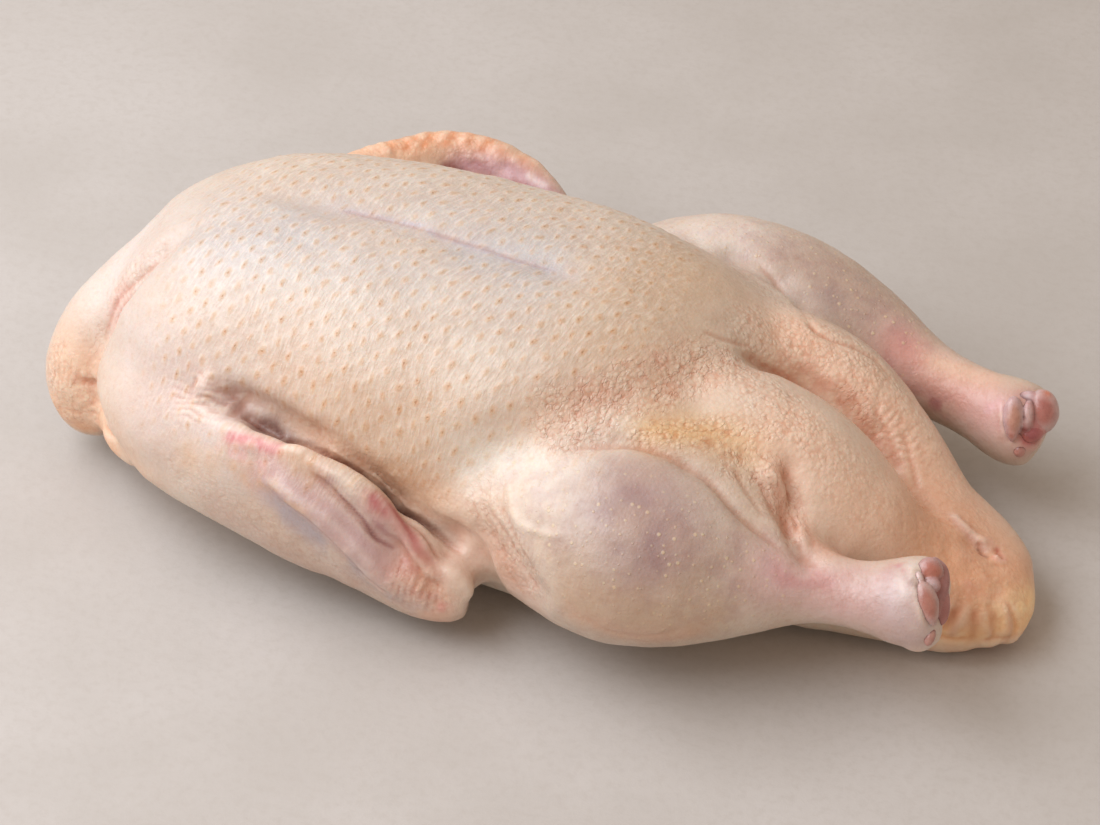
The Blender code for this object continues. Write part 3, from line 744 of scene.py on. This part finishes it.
def colour(skin):
    skin.tint[:] = linear(CREAM)
    for tone, strength, radius, line, *patch in PAINT:
        skin.paint(tone, strength, radius, line, *patch)
    for tone, low, high, form in FORM_PAINT:
        centre, radii, turn = FORMS[form]
        matrix = np.array(Euler([math.radians(angle) for angle in turn]).to_matrix())
        local = ((skin.places - np.array(centre)) @ matrix) / np.array(radii)
        skin.blend(tone, 1.0 - ease(np.linalg.norm(local, axis=1), low, high))


def write_tint(skin):
    layer = skin.mesh.attributes.new("tint", "FLOAT_COLOR", "POINT")
    values = np.ones((skin.count, 4), np.float32)
    values[:, :3] = skin.tint
    layer.data.foreach_set("color", values.ravel())


def store(skin):
    """Writes what the material reads as attributes of the mesh."""
    mesh = skin.mesh
    write_tint(skin)
    for name, several in (("rows", skin.rows), ("flat", skin.flat), ("net_place", skin.net_place)):
        layer = mesh.attributes.new(name, "FLOAT_VECTOR", "POINT")
        values = np.zeros((skin.count, 3), np.float32)
        values[:, :several.shape[1]] = several
        layer.data.foreach_set("vector", values.ravel())
    for name, single in (("torso", skin.torso), ("net", skin.net), ("lines", skin.lines),
                         ("legs", skin.legs), ("hollow", skin.hollow), ("crest", skin.crest)):
        layer = mesh.attributes.new(name, "FLOAT", "POINT")
        layer.data.foreach_set("value", single.astype(np.float32))


# ---------------- materials
class Graph:
    """Short calls for making and joining shader nodes."""

    def __init__(self, name):
        self.material = bpy.data.materials.new(name)
        self.material.use_nodes = True
        self.tree = self.material.node_tree
        self.shader = self.tree.nodes["Principled BSDF"]

    def put(self, socket, value):
        if isinstance(value, bpy.types.NodeSocket):
            self.tree.links.new(value, socket)
        else:
            socket.default_value = value

    def node(self, kind, inputs=(), **settings):
        made = self.tree.nodes.new(kind)
        for key, value in settings.items():
            setattr(made, key, value)
        for key, value in dict(inputs).items():
            self.put(made.inputs[key], value)
        return made

    def layer(self, name, kind="Fac"):
        return self.node("ShaderNodeAttribute", attribute_name=name).outputs[kind]

    def maths(self, operation, one, two=0.0, three=0.0):
        made = self.node("ShaderNodeMath", operation=operation)
        for socket, value in zip(made.inputs, (one, two, three)):
            self.put(socket, value)
        return made.outputs[0]

    def times(self, value, *factors):
        for factor in factors:
            value = self.maths("MULTIPLY", value, factor)
        return value

    def vector(self, operation, *operands):
        made = self.node("ShaderNodeVectorMath", dict(enumerate(operands)), operation=operation)
        return made.outputs[0]

    def wobble(self, vector, scale):
        """A smooth random vector, with parts from 0 to 1."""
        made = self.node("ShaderNodeTexNoise", {"Vector": vector, "Scale": scale, "Detail": 1.0})
        return made.outputs["Color"]

    def cells(self, vector, scale, randomness=1.0):
        made = self.node("ShaderNodeTexVoronoi", {"Vector": vector, "Scale": scale,
                                                  "Randomness": randomness})
        return made.outputs

    def bump(self, height, strength=1.0, distance=METRES_PER_DRAWN_MM):
        made = self.node("ShaderNodeBump", {"Strength": strength, "Distance": distance, "Height": height})
        return made.outputs[0]

    def surface(self, settings):
        """Puts the settings on the shader, and gives the finished material."""
        for name, value in settings.items():
            self.put(self.shader.inputs[name], value)
        return self.material

    def span(self, value, low, high, to_low=0.0, to_high=1.0):
        made = self.node("ShaderNodeMapRange", interpolation_type="SMOOTHSTEP")
        for socket, item in zip(made.inputs, (value, low, high, to_low, to_high)):
            self.put(socket, item)
        return made.outputs[0]

    def mix(self, factor, one, two, blend="MIX"):
        made = self.node("ShaderNodeMix", data_type="RGBA", blend_type=blend, clamp_factor=True)
        self.put(made.inputs[0], factor)
        self.put(made.inputs[6], one)
        self.put(made.inputs[7], two)
        return made.outputs[2]

    def noise(self, vector, scale, detail=2.0, roughness=0.5):
        made = self.node("ShaderNodeTexNoise", {"Vector": vector, "Scale": scale, "Detail": detail,
                                                "Roughness": roughness})
        return made.outputs["Fac"]

    def dot(self, vector, other):
        made = self.node("ShaderNodeVectorMath", {0: vector, 1: other}, operation="DOT_PRODUCT")
        return made.outputs["Value"]

    def tinted(self, base, tone):
        return self.mix(1.0, base, screen(tone), "MULTIPLY")

    def stain_and_shade(self, base, where, strength, tone):
        """Darkens the base towards a tone: the skin's own darker marks, and painted shade in its hollows and
        creases.
        """
        return self.mix(self.times(where, strength), base, self.tinted(base, tone))

    def cover_and_highlight(self, base, where, strength, tone):
        """Covers the base with a tone: the skin's own paler marks, and painted highlight on crests and round
        the follicles.
        """
        return self.mix(self.times(where, strength), base, screen(tone))


def screen(colour):
    return tuple(linear(colour)) + (1.0,)


def in_millimetres(g):
    """The place on the piece, in the drawing's millimetres."""
    place = g.node("ShaderNodeTexCoord").outputs["Object"]
    return g.vector("MULTIPLY", place, (1.0 / METRES_PER_DRAWN_MM,) * 3)


def follicles(g, place):
    """How much of a follicle's pale pad (a painted highlight), tan halo and dark core each point is on."""
    shift = g.vector("SUBTRACT", g.wobble(place, 0.22), (0.5, 0.5, 0.5))
    spot = g.vector("MULTIPLY_ADD", shift, (0.3, 0.3, 0.0), g.layer("rows", "Vector"))
    cell = g.vector("FLOOR", g.vector("ADD", spot, (0.5, 0.5, 0.0)))
    off = g.vector("SUBTRACT", spot, cell)
    across = g.dot(off, (ROW_ONE @ ASIDE, ROW_TWO @ ASIDE, 0.0))
    along = g.dot(off, (ROW_ONE @ STREAK, ROW_TWO @ STREAK, 0.0))
    chance = g.node("ShaderNodeTexWhiteNoise", {"Vector": cell}, noise_dimensions="2D").outputs["Value"]
    ragged = g.maths("MULTIPLY_ADD", g.noise(place, 0.75, 2.0), 0.9, -0.45)

    def within(width, length, ragged_share):
        gap = g.maths("SQRT", g.maths("ADD", g.maths("POWER", g.maths("DIVIDE", across, width), 2.0),
                                      g.maths("POWER", g.maths("DIVIDE", along, length), 2.0)))
        return g.span(g.maths("MULTIPLY_ADD", ragged, ragged_share, gap), 1.0, 0.25)

    return within(*PAD), within(*HALO), within(*CORE), chance


def skin_material():
    g = Graph("skin")
    place = in_millimetres(g)
    torso = g.layer("torso")
    legs = g.layer("legs")
    flat = g.layer("flat", "Vector")
    pad_highlight, halo, core, chance = follicles(g, place)
    halo = g.times(halo, torso, g.span(chance, 0.0, 1.0, 0.75, 1.0))
    core = g.times(core, torso, g.span(chance, 0.2, 0.9, 0.25, 1.0))

    pimples = g.cells(place, 0.35, 0.9)
    size = g.node("ShaderNodeSeparateColor", {0: pimples["Color"]}).outputs[0]
    radius = g.maths("MULTIPLY_ADD", size, 0.2, 0.14)
    pimple = g.times(g.span(g.maths("DIVIDE", pimples["Distance"], radius), 1.0, 0.4), legs)

    broken = g.span(g.noise(place, 0.3, 2.0), 0.3, 0.65, 0.3, 1.0)
    bend = g.wobble(place, 0.4)
    cell = g.cells(g.vector("MULTIPLY_ADD", bend, (1.2, 1.2, 1.2), place), 0.52)["Distance"]
    net = g.times(g.layer("net"), broken)
    net_line = g.times(g.span(cell, 0.4, 0.85), net)
    net_pad = g.times(g.span(cell, 0.8, 0.1), net)
    bent = g.vector("MULTIPLY_ADD", bend, (3.0, 3.0, 3.0), g.layer("net_place", "Vector"))
    wave = g.noise(g.vector("MULTIPLY", bent, (0.09, 0.3, 0.3)), 1.0)
    furrow = g.span(g.maths("ABSOLUTE", g.maths("SUBTRACT", wave, 0.5)), 0.06, 0.0)
    furrow = g.times(furrow, g.layer("lines"), broken)

    tint = g.layer("tint", "Color")
    wide = g.noise(place, 0.045, 3.0, 0.6)
    close = g.noise(place, 0.4, 3.0, 0.65)
    across = g.times(g.dot(flat, (*ASIDE, 0.0)), 0.85)
    along = g.times(g.dot(flat, (*STREAK, 0.0)), 0.17)
    silk = g.noise(g.node("ShaderNodeCombineXYZ", {0: across, 1: along}).outputs[0], 1.0, 4.0, 0.62)
    base = g.mix(g.span(wide, 0.35, 0.7), g.tinted(tint, (248, 242, 238)), tint)
    base = g.mix(g.span(close, 0.45, 0.75, 0.0, 0.3), base, g.tinted(base, (238, 214, 196)))
    base = g.cover_and_highlight(base, g.span(silk, 0.42, 0.68), g.times(torso, 0.3), (244, 234, 224))
    mottle = g.span(g.noise(place, 0.13, 3.0, 0.6), 0.45, 0.68)
    base = g.stain_and_shade(base, mottle, g.times(legs, 0.4), (222, 206, 216))
    # painted highlight: a pale ring round each follicle's halo, on its pad
    base = g.cover_and_highlight(base, g.maths("SUBTRACT", pad_highlight, halo), g.times(torso, 0.28), (244, 232, 218))
    base = g.stain_and_shade(base, halo, 0.68, (244, 214, 178))
    base = g.stain_and_shade(base, core, 0.55, (216, 168, 120))
    base = g.cover_and_highlight(base, pimple, g.span(size, 0.0, 1.0, 0.15, 0.6), (228, 206, 168))
    # darker wrinkle lines: the skin's reddish tone, with painted shade in the creases
    base = g.stain_and_shade(base, net_line, 0.5, (230, 182, 156))
    base = g.stain_and_shade(base, furrow, 0.36, (226, 168, 144))
    base = g.cover_and_highlight(base, net_pad, 0.14, (246, 230, 212))
    # painted shade in the hollows and painted highlight on the crests
    base = g.stain_and_shade(base, g.layer("hollow"), 0.45, (226, 172, 146))
    base = g.cover_and_highlight(base, g.layer("crest"), 0.25, (246, 230, 212))

    grain = g.noise(place, 0.9, 3.0, 0.6)
    pores = g.cells(place, 0.58)["Distance"]
    relief = g.times(silk, g.maths("MULTIPLY_ADD", torso, 0.2, 0.1))
    for height, amount in ((grain, 0.16), (pores, 0.08), (pimple, 0.14), (net_pad, 0.28), (furrow, -0.2),
                           (halo, 0.05), (core, -0.12)):
        relief = g.maths("MULTIPLY_ADD", height, amount, relief)
    return g.surface({
        "Base Color": base,
        "Roughness": g.span(close, 0.3, 0.7, 0.34, 0.5),
        "Normal": g.bump(relief),
        "Subsurface Weight": 0.18,
        "Subsurface Radius": (1.0, 0.45, 0.28),
        "Subsurface Scale": 0.0025,
        "Coat Weight": 0.12,
        "Coat Roughness": 0.22,
    })


def cartilage_material():
    g = Graph("cartilage")
    place = in_millimetres(g)
    tint = g.layer("tint", "Color")
    cloud = g.noise(place, 0.35, 3.0, 0.6)
    fine = g.noise(place, 1.6, 3.0, 0.6)
    base = g.mix(g.span(cloud, 0.35, 0.7, 0.0, 0.5), tint, g.tinted(tint, (222, 204, 204)))
    base = g.mix(g.span(fine, 0.5, 0.8, 0.0, 0.4), base, g.tinted(base, (226, 190, 180)))
    return g.surface({
        "Base Color": base,
        "Roughness": g.span(fine, 0.3, 0.7, 0.26, 0.4),
        "Normal": g.bump(g.maths("MULTIPLY_ADD", fine, 0.1, g.times(cloud, 0.25))),
        "Subsurface Weight": 0.2,
        "Subsurface Radius": (1.0, 0.4, 0.3),
        "Subsurface Scale": 0.0015,
        "Coat Weight": 0.3,
        "Coat Roughness": 0.15,
    })


def stone_material():
    g = Graph("stone")
    place = g.node("ShaderNodeTexCoord").outputs["Object"]
    wide = g.noise(place, 9.0, 4.0, 0.6)
    grain = g.noise(place, 260.0, 3.0, 0.7)
    base = g.mix(g.span(wide, 0.3, 0.7), (0.50, 0.465, 0.435, 1.0), (0.55, 0.515, 0.49, 1.0))
    base = g.mix(g.span(grain, 0.4, 0.75, 0.0, 0.4), base, (0.46, 0.42, 0.385, 1.0))
    return g.surface({"Base Color": base, "Roughness": 0.8, "Normal": g.bump(grain, 0.2, 0.0005)})


def add_floor():
    mesh = bpy.data.meshes.new("floor")
    corners = [(x * FLOOR_REACH, y * FLOOR_REACH, 0.0) for x, y in ((-1, -1), (1, -1), (1, 1), (-1, 1))]
    mesh.from_pydata(corners, [], [(0, 1, 2, 3)])
    floor = linked("floor", mesh)
    floor.data.materials.append(stone_material())


def dress(obj, material):
    """Gives a piece its material, puts it under the root and hides the imported duck."""
    obj.data.materials.clear()
    obj.data.materials.append(material)
    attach(obj, "root")
    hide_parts("duck")


# ---------------- bone ends
ACROSS = np.array(RIGHT)
OUTWARD = np.array(-AWAY * math.cos(ELEVATION) + UP * math.sin(ELEVATION))
RISE = np.cross(OUTWARD, ACROSS)


def band(line, start, end, tone):
    """Small forms along a line that fuse to one band."""
    spots = smooth_line(line, 0.9)
    return tuple((spot, (radius,) * 3, 0, 0.0, tone, tone)
                 for spot, radius in zip(spots, np.linspace(start, end, len(spots))))


JOINTS = {
    # centre, radii across, up and out of the cut face, lean in degrees, taper, colours of middle and rim
    "near_joint": (
        ((165.4, -57.4, 52.4), (5.4, 11.0, 2.9), 13, 0.0, (168, 108, 104), (180, 124, 118)),
        ((162.6, -53.6, 59.3), (4.7, 5.0, 3.9), 0, 0.0, (190, 124, 108), (188, 150, 146)),
        ((164.7, -58.5, 57.4), (3.2, 3.2, 1.7), 0, 0.0, (208, 182, 182), (188, 144, 140)),
        ((165.0, -64.6, 54.0), (4.1, 8.0, 3.7), 17, 0.4, (182, 124, 110), (198, 166, 160)),
        ((160.5, -59.5, 60.0), (1.5, 2.6, 1.7), 14, 0.0, (226, 206, 202), (216, 190, 186)),
        ((167.5, -68.2, 42.8), (1.9, 3.4, 2.0), -18, 0.0, (196, 150, 138), (190, 142, 132)),
        *band(((163.0, -48.6, 59.2), (165.8, -49.4, 57.8), (167.4, -52.0, 56.2), (168.0, -55.2, 54.2),
            (167.8, -58.0, 51.8)), 2.3, 2.3, (168, 118, 114)),
        *band(((167.8, -58.0, 51.8), (167.4, -61.0, 49.4), (167.0, -64.4, 46.8)), 2.3, 1.7, (176, 124, 118)),
    ),
    "far_joint": (
        ((170.7, 66.0, 43.9), (8.0, 9.6, 3.2), 4, 0.0, (186, 122, 118), (200, 146, 140)),
        ((165.6, 61.2, 45.0), (3.9, 8.6, 3.7), -3, 0.4, (192, 142, 124), (206, 176, 176)),
        ((174.8, 69.3, 45.0), (6.3, 8.2, 4.6), 0, 0.0, (180, 116, 106), (204, 172, 168)),
        ((170.4, 63.8, 45.6), (2.6, 5.8, 2.6), -6, 0.0, (204, 170, 166), (192, 144, 140)),
        ((173.0, 62.4, 39.2), (4.4, 3.4, 2.8), 20, 0.0, (166, 92, 92), (192, 122, 116)),
        ((169.7, 58.0, 33.6), (2.4, 2.6, 2.1), 0, 0.0, (180, 126, 116), (200, 150, 138)),
    ),
}
JOINT_SPOTS = (
    # colour, strength, radius and place of a patch on a bone end
    ((140, 52, 58), 0.8, 2.0, (176, 69, 44)),
    ((212, 118, 78), 0.7, 1.8, (175, 72, 50)),
    ((222, 206, 212), 0.85, 2.6, (169, 69, 51)),
    # painted highlight on the top left of the near upper knob
    ((224, 212, 208), 0.6, 1.4, (159, -55, 61)),
    ((150, 74, 74), 0.6, 1.0, (165, -57, 58)),
    ((196, 116, 92), 0.6, 2.2, (165, -54, 60)),
    ((138, 58, 62), 0.7, 1.6, (171, 60, 42)),
)
# painted shade at the foot of each bone end: its colour, its strength, and the height over the skin within
# which it fades
CONTACT_SHADE = (104, 52, 50)
CONTACT_SHADE_SHARE = 0.8
CONTACT_SHADE_HEIGHT = 0.5
BAND_RADIUS = 2.5


def add_joint(name, forms, under):
    """The rounded gristle of a cut bone end, with painted shade where it comes out of the skin."""
    work = bmesh.new()
    axes = []
    for centre, radii, lean, taper, middle, rim in forms:
        turn = math.radians(lean)
        across = ACROSS * math.cos(turn) + RISE * math.sin(turn)
        rise = RISE * math.cos(turn) - ACROSS * math.sin(turn)
        axes.append(np.stack((across, rise, OUTWARD), axis=1))
        facets = 4 if radii[1] > BAND_RADIUS else 2
        made = bmesh.ops.create_icosphere(work, subdivisions=facets, radius=1.0)
        for vertex in made["verts"]:
            a, b, c = vertex.co
            a *= 1.0 - taper * max(0.0, -b)
            vertex.co = placed(np.array(centre) + axes[-1] @ (np.array((a, b, c)) * radii))
    mesh = bpy.data.meshes.new(name)
    work.to_mesh(mesh)
    work.free()
    mesh = fused(mesh, JOINT_VOXEL)
    piece = Skin(mesh)
    piece.rounded(JOINT_SMOOTH_STEPS)
    nearest = np.full(piece.count, 1e9)
    for (centre, radii, lean, taper, middle, rim), turned in zip(forms, axes):
        local = ((piece.places - np.array(centre)) @ turned) / np.array(radii)
        size = np.linalg.norm(local, axis=1)
        mine = size < nearest
        nearest[mine] = size[mine]
        edge = ease(np.linalg.norm(local[:, :2], axis=1), 0.35, 0.95)[:, None]
        piece.tint[mine] = (linear(middle) * (1.0 - edge) + linear(rim) * edge)[mine]
    piece.warped = piece.places
    for tone, strength, radius, spot in JOINT_SPOTS:
        piece.paint(tone, strength, radius, (spot,))
    height = np.empty(piece.count)
    for k, place in enumerate(placed(piece.places)):
        point, normal, face, gap = under.find_nearest(Vector(place))
        height[k] = (Vector(place) - point).dot(normal) / METRES_PER_DRAWN_MM
    # painted shade where the bone end comes out of the skin
    piece.blend(CONTACT_SHADE, CONTACT_SHADE_SHARE * (1.0 - ease(height, 0.0, CONTACT_SHADE_HEIGHT)))
    write_tint(piece)
    dress(linked(name, mesh), cartilage_material())


# ---------------- make it all
def add_duck():
    obj = fine_mesh(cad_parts["duck"])
    skin = Skin(obj.data)
    skin.rounded(SMOOTH_STEPS)
    sculpt(skin)
    skin.wander(3.0, 14.0)
    lay_rows(skin)
    masks(skin)
    skin.wander(1.2, 9.0)
    colour(skin)
    fine_relief(skin)
    store(skin)
    dress(obj, skin_material())
    corners = [vertex.co for vertex in obj.data.vertices]
    under = BVHTree.FromPolygons(corners, [face.vertices for face in obj.data.polygons])
    for name, forms in JOINTS.items():
        add_joint(name, forms, under)


add_camera()
add_lights()
add_floor()
add_duck()
